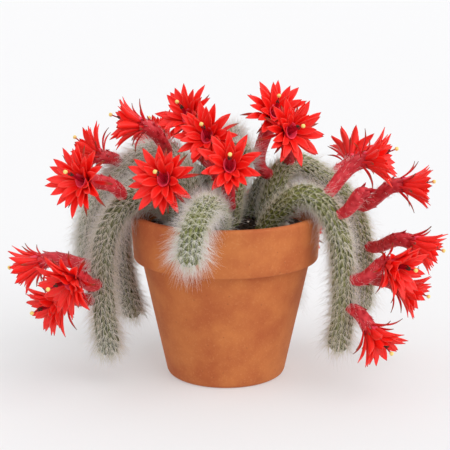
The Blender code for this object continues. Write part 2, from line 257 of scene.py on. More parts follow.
def makePetal():
    # satin petal: deep red at the foot, scarlet along the blade, paler rims, a brown point
    made, tree, shader = newMaterial("satin scarlet petal", {
        "Roughness": 0.42, "IOR": 1.42, "Subsurface Weight": 0.25, "Subsurface Radius": (1.0, 0.2, 0.1),
        "Subsurface Scale": 0.0015})
    places = addNode(tree, "SeparateXYZ", {0: addNode(tree, "UVMap", uv_map="blade").outputs[0]})
    parts = []
    for axis in (0, 1):
        scaled = addNode(tree, "Math", {0: places.outputs[axis]}, {1: cells}, operation="MULTIPLY")
        parts.append((addNode(tree, "Math", {0: scaled.outputs[0]}, operation="FRACT").outputs[0],
                      addNode(tree, "Math", {0: scaled.outputs[0]}, operation="FLOOR").outputs[0]))
    (across, column), (along, row) = parts
    number = addNode(tree, "CombineXYZ", {0: column, 1: row})
    shade = addNode(tree, "TexWhiteNoise", {"Vector": number.outputs[0]}, noise_dimensions="2D")
    foot = addNode(tree, "MapRange", {"Value": along}, {"From Min": 0.05, "From Max": 0.45})
    blade = addNode(tree, "Mix", {0: foot.outputs[0]},
                    {6: linearColour("#EC0006"), 7: linearColour("#FF1C12")}, data_type="RGBA")
    offCentre = addNode(tree, "Math", {0: across}, {1: 0.5}, operation="SUBTRACT")
    offCentre = addNode(tree, "Math", {0: offCentre.outputs[0]}, operation="ABSOLUTE")
    rimShare = addNode(tree, "MapRange", {"Value": offCentre.outputs[0]},
                       {"From Min": 0.30, "From Max": 0.48, "To Max": 0.65})
    rimmed = addNode(tree, "Mix", {0: rimShare.outputs[0], 6: blade.outputs[2]},
                     {7: linearColour("#FF5040")}, data_type="RGBA")
    shadeShare = addNode(tree, "MapRange", {"Value": shade.outputs[0]}, {"To Max": 0.22})
    varied = addNode(tree, "Mix", {0: shadeShare.outputs[0], 6: rimmed.outputs[2]},
                     {7: linearColour("#FF4038")}, data_type="RGBA")
    pointShare = addNode(tree, "MapRange", {"Value": along},
                         {"From Min": 0.88, "From Max": 0.98, "To Max": 0.8})
    pointed = addNode(tree, "Mix", {0: pointShare.outputs[0], 6: varied.outputs[2]},
                      {7: linearColour("#7E2A18")}, data_type="RGBA")
    tree.links.new(pointed.outputs[2], shader.inputs["Base Color"])
    return made


def makeBract():
    # thin outer bract: red at the foot, drying to olive brown at the point
    made, tree, shader = newMaterial("drying red bract", {"Roughness": 0.5, "IOR": 1.42})
    places = addNode(tree, "SeparateXYZ", {0: addNode(tree, "UVMap", uv_map="blade").outputs[0]})
    scaled = addNode(tree, "Math", {0: places.outputs[1]}, {1: cells}, operation="MULTIPLY")
    along = addNode(tree, "Math", {0: scaled.outputs[0]}, operation="FRACT")
    share = addNode(tree, "MapRange", {"Value": along.outputs[0]}, {"From Min": 0.55, "From Max": 0.95})
    tone = addNode(tree, "Mix", {0: share.outputs[0]},
                   {6: linearColour("#DC1418"), 7: linearColour("#6E4A26")}, data_type="RGBA")
    tree.links.new(tone.outputs[2], shader.inputs["Base Color"])
    return made


def makeTubeSkin():
    # fleshy flower tube: crimson with coral streaks between its scales
    made, tree, shader = newMaterial("scaly crimson tube", {"Roughness": 0.5, "IOR": 1.42})
    spot = addNode(tree, "TexCoord").outputs["Object"]
    streaks = addNode(tree, "TexNoise", {"Vector": spot}, {"Scale": 260.0, "Detail": 3.0})
    share = addNode(tree, "MapRange", {"Value": streaks.outputs["Fac"]}, {"From Min": 0.38, "From Max": 0.66})
    tone = addNode(tree, "Mix", {0: share.outputs[0]},
                   {6: linearColour("#B8101F"), 7: linearColour("#DA3A42")}, data_type="RGBA")
    tree.links.new(tone.outputs[2], shader.inputs["Base Color"])
    return made


def makePlain(name, hexText, roughness):
    # for parts of a millimetre or two, too small to show a pattern
    return newMaterial(name, {"Base Color": linearColour(hexText), "Roughness": roughness, "IOR": 1.45})[0]


terracotta = makeTerracotta()
peat = makeSoil()
perlite = makePlain("expanded perlite", "#E9E4DA", 0.9)
# the green and grey skins and hairs are one finish in two copies: the greyer, duller copy stands for older
# stems and is also painted shade for the stems away from the key light
greenSkinForLitStems = makeStemSkin("young green cactus skin", "#35381A", "#7A8040", "#98985A")
greySkinPaintedShade = makeStemSkin("older grey-green cactus skin with painted shade", "#33351C", "#6C7244", "#84845C")
paleSkin = makeStemSkin("pale cactus skin under thick wool", "#7C7A5C", "#A3A27C", "#B5B294")
creamHairForLitStems = makeHair("short cream cactus hair", "#9A9866", "#E8E4C6", "#FDFAEE", "#CBC698")
greyHairPaintedShade = makeHair("short grey cactus hair with painted shade", "#8C8862", "#E6DFC8", "#FCF8EC", "#C6BF9E")
paleHair = makeHair("bleached cactus wool", "#DDD6C0", "#FAF5E8", "#FFFEFA", "#EEE6D2")
softHair = makeHair("long white cactus hair", "#F4EEE4", "#FFFCF8", "#FFFFFE", "#FFF4EC")
petalSkin = makePetal()
bractSkin = makeBract()
tubeSkin = makeTubeSkin()
scaleSkin = makePlain("crimson tube scale", "#BE1A28", 0.5)
tubeFuzz = makePlain("pale tube hair", "#F1C9C4", 0.6)
throatSkin = makePlain("magenta throat", "#FF4A68", 0.4)
filamentSkin = makePlain("crimson filament", "#B01030", 0.45)
antherSkin = makePlain("dark anther", "#3A3320", 0.7)
stigmaSkin = makePlain("pale yellow stigma", "#F2D77C", 0.5)
print("materials made")


potLook = {
    "sides": 160,
    "wobble": 0.00012,          # how far the wall strays from a true round
    "holeRadius": 0.0070,
    "floorThick": 0.0080,
    "footRadius": 0.0444,
    "footEdge": 0.0028,         # height of the rounded edge round the foot
    "footInside": 0.0381,
    "neckRadius": 0.0622,       # the wall just under the rim band
    "neckInside": 0.0562,
    "bandHeight": 0.0343,
    "bandRadius": 0.0681,       # the band's lower edge
    "bandFlare": 0.0018,        # how much wider the band gets on the way up
    "lipRound": 0.0022,
    "lipOutside": 0.0677,       # centres of the lip's two roundings
    "lipInside": 0.0662,
}


def makePot():
    # half the section, from the drain hole up the outside, over the rim and down the inside
    hole, foot, edge = potLook["holeRadius"], potLook["footRadius"], potLook["footEdge"]
    neck, wide, lip = potLook["neckRadius"], potLook["bandRadius"], potLook["lipRound"]
    inside, floor = potLook["footInside"], potLook["floorThick"]
    top = potHeight
    band = top - potLook["bandHeight"]
    section = [(hole, 0.0004), (hole + 0.0004, 0.0)]
    section += [(foot - 0.0036, 0.0), (foot - 0.0020, 0.0003), (foot - 0.0008, 0.0012), (foot, edge)]
    for step in range(1, 15):
        share = step / 15
        section.append((foot + (neck - foot) * share, edge + (band - 0.0012 - edge) * share))
    section += [(neck, band - 0.0012), (neck + 0.0002, band - 0.0003), (neck + 0.0010, band)]
    section += [(wide - 0.0012, band), (wide - 0.0004, band + 0.0002), (wide, band + 0.0010)]
    for step in range(1, 8):
        share = step / 8
        section.append((wide + potLook["bandFlare"] * share, band + 0.0010 + (top - 0.0026 - band) * share))
    for centre, first in ((potLook["lipOutside"], 0), (potLook["lipInside"], 90)):
        for step in range(7):
            turn = math.radians(first + 15 * step)
            section.append((centre + lip * math.cos(turn), top - lip + lip * math.sin(turn)))
    section += [(0.0625, top - 0.012), (potLook["neckInside"], band)]
    section += [(inside + 0.001, floor + 0.002), (inside - 0.002, floor)]
    section += [(hole + 0.0008, floor), (hole, floor - 0.0006)]
    shape = bmesh.new()
    points = [shape.verts.new((radius, 0, height)) for radius, height in section]
    edges = [shape.edges.new(pair) for pair in zip(points, points[1:] + points[:1])]
    bmesh.ops.spin(shape, geom=points + edges, cent=(0, 0, 0), axis=(0, 0, 1),
                   angle=2 * math.pi, steps=potLook["sides"], use_merge=True)
    bmesh.ops.remove_doubles(shape, verts=shape.verts, dist=1e-6)
    bmesh.ops.recalc_face_normals(shape, faces=shape.faces)
    for vert in shape.verts:
        if vert.co.z > 0.004:           # the foot stays flat
            sway = noise.noise(vert.co * 22)
            away = Vector((vert.co.x, vert.co.y, 0)).normalized()
            vert.co += away * sway * potLook["wobble"]
    mesh = bpy.data.meshes.new("terracotta_flower_pot")
    shape.to_mesh(mesh)
    shape.free()
    mesh.shade_smooth()
    mesh.set_sharp_from_angle(angle=math.radians(50))
    addPiece("terracotta_flower_pot", mesh, [terracotta], "terracotta_pot")


makePot()
print("pot made")


soilLook = {
    "lumps": 700,
    "perlite": 22,
    "roughness": 0.0011,
    "sink": 0.0020,             # how much lower the surface is at the pot's wall
    "depth": 0.012,             # the piece's own thickness
    "frontPerlite": (266, 298), # where half of the perlite floated to, in degrees
}


def soilHeight(distance):
    return soilHigh.z - soilLook["sink"] * (distance / soilRadius) ** 2


def makeSoilTop():
    shape = bmesh.new()
    rings = 26
    radii = [soilRadius * step / rings for step in range(rings + 1)]
    points = [shape.verts.new((radius, 0, soilHeight(radius))) for radius in radii]
    under = soilHeight(0) - soilLook["depth"]
    points += [shape.verts.new((soilRadius * 0.97, 0, under)), shape.verts.new((0, 0, under))]
    edges = [shape.edges.new(pair) for pair in zip(points, points[1:])]
    bmesh.ops.spin(shape, geom=points + edges, cent=(0, 0, 0), axis=(0, 0, 1),
                   angle=2 * math.pi, steps=90, use_merge=True)
    bmesh.ops.remove_doubles(shape, verts=shape.verts, dist=1e-6)
    bmesh.ops.recalc_face_normals(shape, faces=shape.faces)
    for vert in shape.verts:
        if vert.co.z > soilHeight(soilRadius) - 0.001:
            lumps = noise.noise(vert.co * 300) + noise.noise(vert.co * 900) * 0.5
            vert.co.z += lumps * soilLook["roughness"]
    for lump in range(soilLook["lumps"] + soilLook["perlite"]):
        isPerlite = lump >= soilLook["lumps"]
        distance, turn = (soilRadius - 0.003) * math.sqrt(dice.random()), dice.random() * 2 * math.pi
        size = dice.uniform(0.0005, 0.0015)
        if isPerlite:
            size = dice.uniform(0.0013, 0.0023)
            if lump % 2:                # half of it floated to the front when the plant was watered
                distance = soilRadius * dice.uniform(0.78, 0.95)
                turn = math.radians(dice.uniform(*soilLook["frontPerlite"]))
        place = Matrix.LocRotScale(
            Vector((distance * math.cos(turn), distance * math.sin(turn), soilHeight(distance) + size * 0.4)),
            Vector(dice.normal(size=3)).to_track_quat("Z", "Y"),
            Vector(size * dice.uniform(0.6, 1.2, 3)))
        made = bmesh.ops.create_icosphere(shape, subdivisions=1, radius=1, matrix=place)
        for vert in made["verts"]:
            vert.co += Vector(dice.normal(size=3)) * size * 0.12
            for face in vert.link_faces:
                face.material_index = 1 if isPerlite else 0
    mesh = bpy.data.meshes.new("soil_surface")
    shape.to_mesh(mesh)
    shape.free()
    addPiece("soil_surface", mesh, [peat, perlite], "potting_soil")


makeSoilTop()
print("soil made")


stemLook = {
    "radius": 0.0080,         # skin, under the hair
    "bodyRadius": 0.0095,     # the solid stem that the plan's points are for
    "rootDepth": 0.008,
    "pointSpacing": 0.0015,   # along the centre line
    "slimRoot": 0.036,        # a stem has its full thickness from here on
    "ribDepth": 0.10,
    "tuftSpacing": 0.0050,    # along a rib
    "firstTuft": 0.010,       # from the buried end
    "bareRoot": 0.045,        # down here the long hairs are rubbed off
    "woolyTip": 0.010,        # this close to the tip there are twice as many long hairs
    "hairWidth": 0.00017,     # thicker than the real hairs, which are too fine to show
    "hairFan": 38,            # how far a tuft's two fans turn sideways, in degrees
    "softHairWidth": 0.00008,
    "softHairLength": (0.0080, 0.0150),
    "softHairLean": (5, 55),
}

# How each stem is clothed: short hairs in a tuft, their length, long hairs in a tuft, and the coat.
# Grey coats go on the stems away from the key light: painted shade, along with their age.
coats = {"green": (greenSkinForLitStems, creamHairForLitStems), "grey": (greySkinPaintedShade, greyHairPaintedShade), "pale": (paleSkin, paleHair)}
coatPlan = {
    "left_front_stem": (8, 0.0082, 4, "grey"), "left_rear_stem": (8, 0.0082, 4, "grey"),
    "left_back_stem": (10, 0.0090, 6, "pale"), "front_stem": (8, 0.0068, 9, "green"),
    "centre_stem": (10, 0.0068, 6, "green"), "right_front_stem": (8, 0.0068, 4, "green"),
    "right_back_stem": (8, 0.0064, 4, "green"), "tall_back_stem": (9, 0.0080, 6, "pale"),
    "back_right_stem": (8, 0.0080, 5, "grey"), "back_left_stem": (8, 0.0080, 5, "grey"),
}

# Each stem: where it roots (azimuth in degrees, share of the soil's radius), then the points that
# it passes as (azimuth, share of hangRadius, share of restHeight).
stemPlan = {
    "left_front_stem": ((215, 0.66), [(204, 0.62, 1.02), (201, 0.83, 1.035), (201, 1.03, 0.96),
                                      (200, 1.15, 0.79), (200, 1.18, 0.57), (201, 1.17, 0.38),
                                      (202, 1.15, 0.23)]),
    "left_rear_stem": ((175, 0.70), [(164, 0.66, 0.99), (160, 0.86, 1.03), (159, 1.04, 0.93),
                                     (158, 1.10, 0.73), (157, 1.08, 0.48), (155, 1.02, 0.28)]),
    "left_back_stem": ((140, 0.60), [(134, 0.52, 1.05), (136, 0.72, 1.19), (140, 0.96, 1.19),
                                     (145, 1.23, 1.08), (150, 1.45, 0.92), (152, 1.55, 0.70),
                                     (153, 1.54, 0.47)]),
    "front_stem": ((262, 0.54), [(261, 0.58, 0.99), (259, 0.80, 1.045), (258, 1.02, 1.035),
                                 (257, 1.22, 0.96), (257, 1.33, 0.865)]),
    "centre_stem": ((315, 0.07), [(345, 0.06, 1.00), (10, 0.09, 1.13), (30, 0.16, 1.24)]),
    "right_front_stem": ((335, 0.60), [(335, 0.61, 1.00), (334, 0.80, 1.05), (334, 0.99, 0.99),
                                       (335, 1.10, 0.84), (336, 1.14, 0.64), (337, 1.14, 0.42),
                                       (337, 1.11, 0.25)]),
    "right_back_stem": ((29, 0.64), [(33, 0.55, 1.02), (34, 0.66, 1.12), (31, 0.83, 1.14),
                                     (27, 1.06, 1.05), (23, 1.27, 0.92), (21, 1.39, 0.74),
                                     (20, 1.43, 0.53), (20, 1.42, 0.31)]),
    "tall_back_stem": ((80, 0.38), [(82, 0.35, 1.02), (84, 0.42, 1.18), (85, 0.58, 1.28),
                                    (86, 0.79, 1.27), (87, 0.96, 1.15), (88, 1.03, 0.95),
                                    (88, 1.04, 0.72), (88, 1.01, 0.50)]),
    "back_right_stem": ((61, 0.74), [(60, 0.75, 1.00), (55, 0.89, 1.04), (54, 1.04, 0.93),
                                     (54, 1.12, 0.74), (54, 1.13, 0.50), (55, 1.10, 0.28)]),
    "back_left_stem": ((107, 0.73), [(109, 0.74, 1.01), (111, 0.88, 1.04), (112, 1.03, 0.94),
                                     (113, 1.08, 0.74), (113, 1.08, 0.48), (112, 1.05, 0.22)]),
}


def evenRoute(passes, spacing):
    fine = []
    for index in range(len(passes) - 1):
        here, there = passes[index], passes[index + 1]
        before, after = passes[max(index - 1, 0)], passes[min(index + 2, len(passes) - 1)]
        leave, arrive = here + (there - before) / 6, there - (after - here) / 6
        fine += interpolate_bezier(here, leave, arrive, there, 24)[:-1]
    fine = np.array(fine + [passes[-1]])
    lengths = np.concatenate([[0], np.cumsum(np.linalg.norm(np.diff(fine, axis=0), axis=1))])
    count = round(lengths[-1] / spacing)
    wanted = np.linspace(0, lengths[-1], count + 1)
    return np.stack([np.interp(wanted, lengths, fine[:, axis]) for axis in range(3)], 1), lengths[-1]


def carriedStem(root, passes):
    # the centre line with a side and an up direction that are carried along it without twisting
    azimuth, share = root
    distance = (soilRadius - stemLook["bodyRadius"]) * share
    atSoil = directionOf(azimuth, 0) * distance + Vector((0, 0, soilHeight(distance)))
    points = [atSoil - Vector((0, 0, stemLook["rootDepth"])), atSoil]
    for turn, out, up in passes:
        points.append(directionOf(turn, 0) * hangRadius * out + Vector((0, 0, restHeight * up)))
    centre, length = evenRoute(points, stemLook["pointSpacing"])
    ahead = unit(np.gradient(centre, axis=0))
    sides = [Vector(ahead[0]).orthogonal().normalized()]
    for before, after in zip(ahead, ahead[1:]):
        turned = Vector(before).rotation_difference(Vector(after)) @ sides[-1]
        sides.append((turned - Vector(after) * turned.dot(Vector(after))).normalized())
    side = np.array(sides)
    return {"centre": centre, "ahead": ahead, "side": side, "up": np.cross(ahead, side), "length": length}


def skinRadius(distance):
    return stemLook["radius"] * (0.8 + 0.2 * np.clip(distance / stemLook["slimRoot"], 0, 1))


def onStem(stem, distance, turn):
    # points on the skin, with the way out of it and the way towards the tip; past the end it domes over
    count = len(stem["centre"]) - 1
    place = np.clip(distance / stem["length"], 0, 1) * count
    index = np.minimum(place.astype(int), count - 1)
    share = (place - index)[:, None]
    centre, ahead, side, up = [stem[part][index] * (1 - share) + stem[part][index + 1] * share
                               for part in ("centre", "ahead", "side", "up")]
    radius = skinRadius(distance)[:, None]
    around = unit(side * np.cos(turn)[:, None] + up * np.sin(turn)[:, None])
    bend = np.clip((distance - stem["length"])[:, None] / radius, 0, math.pi / 2)
    outward = around * np.cos(bend) + ahead * np.sin(bend)
    return centre + outward * radius, outward, ahead * np.cos(bend) - around * np.sin(bend)


def makeSkin(name, stem):
    path = stem["centre"]
    widths = skinRadius(np.linspace(0, stem["length"], len(path)))
    dome = np.sin(np.radians([25, 45, 62, 76, 86]))     # rings that round the tip off
    path = np.vstack([path, path[-1] + stem["ahead"][-1] * stemLook["radius"] * dome[:, None]])
    widths = np.concatenate([widths, stemLook["radius"] * np.sqrt(1 - dome ** 2)])
    mesh = sweptMesh(name, ribRing, [path], [widths])
    places = np.zeros(len(mesh.loops) * 2)
    mesh.uv_layers[0].data.foreach_get("uv", places)
    places = places.reshape(-1, 2)[:, ::-1] * (1.0, stem["length"] / mapLength)
    for title in ("OFBake", "skin"):
        mesh.uv_layers.new(name=title).data.foreach_set("uv", places.ravel())
    mesh.uv_layers.remove(mesh.uv_layers[0])
    closeSeams(mesh)
    return mesh


ribRing = ringProfile("ribbed section", [1.0, 1 - stemLook["ribDepth"]] * ribs)


def hairMesh(name, paths, width):
    count, points = paths.shape[:2]
    taper = np.linspace(1, 0.12, points) ** 0.8
    mesh = sweptMesh(name, hairRing, paths, np.tile(taper * width, (count, 1)))
    places = np.zeros(len(mesh.loops) * 2)
    mesh.uv_layers[0].data.foreach_get("uv", places)
    places = places.reshape(-1, 2)
    column = dice.integers(0, tones, count)
    capCorners = count * 6                     # both ends of every hair come first, last hair first
    perHair = (len(places) - capCorners) // count
    columns = np.concatenate([np.repeat(column[::-1], 6), np.repeat(column, perHair)])
    around = np.concatenate([np.tile([0.5, 0.1, 0.9], count * 2), places[capCorners:, 1]])
    along = np.concatenate([np.tile([1, 1, 1, 0, 0, 0], count), places[capCorners:, 0]])
    places = np.stack([(columns + 0.1 + 0.8 * around) / tones, along], 1)
    for title in ("OFBake", "strand"):
        mesh.uv_layers.new(name=title).data.foreach_set("uv", places.ravel())
    mesh.uv_layers.remove(mesh.uv_layers[0])
    closeSeams(mesh)
    return mesh


def hairPaths(roots, outward, forward, lengths, lean, fan, droop, points):
    # lean tips a hair from straight out towards the stem's tip, fan turns it sideways, droop bends it down
    sideways = np.cross(forward, outward)
    flat = forward * np.cos(fan)[:, None] + sideways * np.sin(fan)[:, None]
    first = outward * np.cos(lean)[:, None] + flat * np.sin(lean)[:, None]
    bend = np.array([0, 0, -1.0]) * droop[:, None] + forward * 0.18 + dice.normal(0, 0.10, roots.shape)
    steps = np.linspace(0, 1, points)[None, :, None]
    return roots[:, None] + lengths[:, None, None] * (first[:, None] * steps + bend[:, None] * steps ** 2)


def tuftPlaces(stem):
    # tufts sit on the ribs, every second rib half a step on, and close over the tip
    end = stem["length"] + stemLook["radius"] * 1.45
    spots = []
    for rib in range(ribs):
        first = stemLook["firstTuft"] + stemLook["tuftSpacing"] * (0.5 if rib % 2 else 0)
        line = np.arange(first, end, stemLook["tuftSpacing"])
        over = (line - stem["length"]) / stemLook["radius"]
        keep = (over < 0.5) | (rib % 2 == 0) & (over < 1.0) | (rib % 4 == 0)   # ribs merge at the tip
        spots.append(np.stack([line[keep], np.full(keep.sum(), 2 * math.pi * rib / ribs)], 1))
    spots = np.vstack(spots)
    return spots[:, 0] + dice.normal(0, 0.0003, len(spots)), spots[:, 1] + dice.normal(0, 0.03, len(spots))


def makeStem(name):
    root, passes = stemPlan[name]
    perTuft, hairLength, longPerTuft, coat = coatPlan[name]
    stem = carriedStem(root, passes)
    addPiece(name + "_skin", makeSkin(name + "_skin", stem), [coats[coat][0]], name)
    distance, turn = tuftPlaces(stem)

    # short hairs leave each tuft in two fans, which gives the stem its criss-cross of dark gaps
    count = len(distance) * perTuft
    roots, outward, forward = onStem(stem, np.repeat(distance, perTuft), np.repeat(turn, perTuft))
    fanSide = np.tile(np.resize([1, -1, 1, -1, 0], perTuft), len(distance))
    tuftFan = np.repeat(dice.normal(0, 8, len(distance)), perTuft)
    fan = np.radians(fanSide * stemLook["hairFan"] + tuftFan + dice.normal(0, 20, count))
    lean = np.radians(np.where(dice.random(count) < 0.66, dice.normal(62, 9, count),
                               dice.uniform(20, 50, count)))
    lengths = hairLength * dice.uniform(0.7, 1.2, count)
    paths = hairPaths(roots - outward * 0.0004, outward, forward, lengths, lean, fan,
                      dice.uniform(0.0, 0.15, count), 3)
    shortName = name + "_short_hair"
    addPiece(shortName, hairMesh(shortName, paths, stemLook["hairWidth"]),
             [coats[coat][1]], name)

    # long soft hairs stand out all round as a pale haze, most on the growing tip
    bushy = np.where(distance > stem["length"] - stemLook["woolyTip"], 2 * longPerTuft,
                     np.where(distance < stemLook["bareRoot"], longPerTuft // 4, longPerTuft))
    roots, outward, forward = onStem(stem, np.repeat(distance, bushy), np.repeat(turn, bushy))
    count = len(roots)
    paths = hairPaths(roots - outward * 0.0004, outward, forward,
                      dice.uniform(*stemLook["softHairLength"], count),
                      np.radians(dice.uniform(*stemLook["softHairLean"], count)),
                      np.radians(dice.normal(0, 60, count)), dice.uniform(0.0, 0.3, count), 4)
    paths[:, :, 2] = np.maximum(paths[:, :, 2], 0.0008)         # none goes through the table
    longName = name + "_long_hair"
    addPiece(longName, hairMesh(longName, paths, stemLook["softHairWidth"]), [softHair], name)

    low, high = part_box(name)
    tip = stem["centre"][-1]
    print(f"{name}: {len(distance)} tufts, {stem['length'] * 1000:.0f} mm, "
          f"tip inside its box: {all(low[a] <= tip[a] <= high[a] for a in range(3))}")
    return stem


stems = {name: makeStem(name) for name in stemPlan}
print("stems made")


# Each flower: its stem, the share of the stem's length where it grows, the way from there to its
# mouth (azimuth, elevation, distance), the way that it faces, and how far its petals lean out.
flowerPlan = [
    ("left_front_stem", 0.67, (161, -1, 0.0400), (182, -21), 34),
    ("left_front_stem", 0.73, (245, 20, 0.0300), (230, -15), 57),
    ("left_front_stem", 0.80, (193, 0, 0.0215), (220, -22), 50),
    ("left_front_stem", 0.38, (217, 23, 0.0312), (239, 13), 58),
    ("left_front_stem", 0.21, (266, 38, 0.0300), (254, 12), 60),
    ("left_back_stem", 0.54, (197, 17, 0.0156), (165, 25), 52),
    ("left_back_stem", 0.32, (226, 38, 0.0334), (183, 9), 42),
    ("left_back_stem", 0.36, (105, 3, 0.0245), (150, 45), 50),
    ("tall_back_stem", 0.25, (147, 53, 0.0420), (236, 30), 57),
    ("centre_stem", 0.66, (211, 67, 0.0332), (256, 22), 56),
    ("centre_stem", 0.39, (269, 48, 0.0455), (271, 20), 48),
    ("right_back_stem", 0.21, (64, 73, 0.0440), (280, 36), 56),
    ("right_back_stem", 0.28, (265, 38, 0.0402), (295, 6), 58),
    ("right_front_stem", 0.38, (15, 38, 0.0346), (345, 12), 46),
    ("right_back_stem", 0.48, (51, 23, 0.0243), (70, 40), 50),
    ("right_back_stem", 0.62, (324, 31, 0.0390), (351, -3), 32),
    ("right_back_stem", 0.77, (306, 15, 0.0460), (341, -22), 28),
    ("right_front_stem", 0.72, (326, 29, 0.0300), (311, -10), 48),
    ("right_back_stem", 0.89, (304, 2, 0.0320), (333, -24), 38),
    ("right_front_stem", 0.84, (312, -35, 0.0211), (308, -40), 42),
    ("tall_back_stem", 0.80, (92, 6, 0.0100), (90, 4), 68),
    ("back_right_stem", 0.72, (75, 15, 0.0140), (80, 8), 66),
    ("back_left_stem", 0.64, (108, 10, 0.0110), (104, 4), 68),
]
budPlan = ("right_front_stem", 0.46, (318, 34, 0.0262), (345, -52))

# Whorls of blades, from the outside in: how many, length, width, the extra lean in degrees, the curl
# towards the tip, how far from the axis and along it they start, and the finish (0 petal, 1 bract).
flowerLook = {
    "bracts": (8, 0.0175, 0.0026, 24, 34, 0.0054, -0.0034, 1),
    "outerPetals": (10, 0.0232, 0.0064, 0, 22, 0.0052, -0.0006, 0),
    "middlePetals": (9, 0.0214, 0.0068, -10, 16, 0.0048, 0.0006, 0),
    "innerPetals": (7, 0.0172, 0.0062, -20, 12, 0.0044, 0.0014, 0),
}
bladeOutline = ((0.0, 0.50), (0.15, 0.66), (0.35, 0.90), (0.52, 1.0), (0.68, 0.92),
                (0.82, 0.64), (0.92, 0.32), (1.0, 0.03))


def addBlade(shape, maps, place, turn, blade, cell, finish):
    # one petal or bract: a grid bent to its lean and curl, hollowed along the middle
    length, width, lean, curl, start, rise = blade
    bends = 32
    steps = np.linspace(0, 1, bends + 1)
    angles = lean - curl * 0.35 + curl * steps ** 1.6
    out = np.concatenate([[0], np.cumsum(np.sin(angles[:-1]) / bends)]) * length
    high = np.concatenate([[0], np.cumsum(np.cos(angles[:-1]) / bends)]) * length
    shares, sizes = zip(*bladeOutline)
    made = bmesh.ops.create_grid(shape, x_segments=4, y_segments=8, size=1)["verts"]
    spin = Matrix.Rotation(turn, 3, "Z")
    where = {}
    for vert in made:
        across, along = vert.co.x, (vert.co.y + 1) / 2
        where[vert] = across, along
        half = width / 2 * float(np.interp(along, shares, sizes))
        angle = float(np.interp(along, steps, angles))
        hollow = (across * half) ** 2 / (width * 0.75) + 0.00025 * abs(across) * (1 - along)
        radial = float(np.interp(along, steps, out)) - hollow * math.cos(angle)
        height = float(np.interp(along, steps, high)) + hollow * math.sin(angle)
        vert.co = place @ (spin @ Vector((start + radial, across * half, rise + height)))
    for face in {face for vert in made for face in vert.link_faces}:
        face.material_index = finish
        face.smooth = True
        for loop in face.loops:
            across, along = where[loop.vert]
            spot = ((cell % cells + 0.5 + 0.42 * across) / cells,
                    (cell // cells + 0.04 + 0.92 * along) / cells)
            for layer in maps:
                loop[layer].uv = spot


tubeFoot, tubeStart = 0.0062, 0.0098      # how far from a stem's axis a tube is rooted and comes free


def flowerRoute(stem, share, reach, faces):
    azimuth, elevation, distance = reach
    count = len(stem["centre"]) - 1
    centre = Vector(stem["centre"][round(share * count)])
    stemAhead = Vector(stem["ahead"][round(share * count)])
    way, facing = directionOf(azimuth, elevation), directionOf(*faces)
    out = (way - stemAhead * way.dot(stemAhead)).normalized()
    start = centre + out * tubeStart
    mouth = start + way * distance
    leave, arrive = start + out * distance * 0.4, mouth - facing * distance * 0.4
    points = interpolate_bezier(start, leave, arrive, mouth, 15)
    return np.array([centre + out * tubeFoot] + points), mouth, facing


def faceFrame(mouth, facing):
    # Z out of the flower, X to its upper side
    upper = Vector((0, 0, 1)) - facing * facing.z
    upper.normalize()
    return Matrix.Translation(mouth) @ Matrix((upper, facing.cross(upper), facing)).transposed().to_4x4()


def makePetals(name, place, lean, node):
    shape = bmesh.new()
    maps = [shape.loops.layers.uv.new(title) for title in ("OFBake", "blade")]
    cell = 0
    offset = dice.random() * math.pi
    for kind, (count, length, width, extra, curl, start, rise, finish) in flowerLook.items():
        for blade in range(count):
            turn = offset + 2 * math.pi * (blade + dice.normal(0, 0.10)) / count
            leaned = math.radians(lean + extra + dice.normal(0, 10 if finish else 4.5))
            curled = math.radians(curl * dice.uniform(0.5, 1.5))
            size = length * (dice.uniform(0.8, 1.2) if finish else dice.uniform(0.92, 1.06))
            addBlade(shape, maps, place, turn, (size, width * dice.uniform(0.88, 1.1), leaned, curled,
                                               start, rise), cell, finish)
            cell += 1
        offset += math.pi / count
    mesh = bpy.data.meshes.new(name)
    shape.to_mesh(mesh)
    shape.free()
    piece = addPiece(name, mesh, [petalSkin, bractSkin], node)
    thick = piece.modifiers.new("blade thickness", "SOLIDIFY")
    thick.thickness = 0.00045
    thick.offset = -1


# A flower's tube and the bud: half their thickness at shares of their length, how many pointed scales
# they carry, how far in degrees those stand off, and how many fine hairs.
tubeLook = {"shares": [0, 0.1, 0.55, 0.85, 1], "widths": [0.0040, 0.0047, 0.0050, 0.0055, 0.0059],
            "scales": 24, "spread": 8, "fuzz": 90}
budLook = {"shares": [0, 0.15, 0.5, 0.7, 0.88, 1], "widths": [0.0038, 0.0043, 0.0051, 0.0054, 0.0042, 0.0006],
           "scales": 16, "spread": 0, "fuzz": 90}


def addScales(shape, route, widths, look):
    # a spiral of pointed scales, longer and looser towards the mouth
    ahead = unit(np.gradient(route, axis=0))
    flat = shape.loops.layers.uv.new("blade")
    for index in range(look["scales"]):
        share = 0.10 + 0.86 * index / look["scales"]
        spot = share * (len(route) - 1)
        low = int(spot)
        centre = Vector(route[low]).lerp(Vector(route[low + 1]), spot - low)
        place = Matrix.Translation(centre) @ Vector(ahead[low]).to_track_quat("Z", "Y").to_matrix().to_4x4()
        radius = float(np.interp(share, np.linspace(0, 1, len(widths)), widths)) - 0.0002
        lean = math.radians(look["spread"] * (0.5 + share))
        blade = (0.0056 + 0.0032 * share, 0.0028, lean, math.radians(8), radius, 0)
        addBlade(shape, [flat], place, index * math.radians(137.5), blade, 0, 1)
    scaleFaces = [face for face in shape.faces if face.material_index == 1]
    bmesh.ops.solidify(shape, geom=scaleFaces, thickness=0.00025)
    shape.loops.layers.uv.remove(flat)


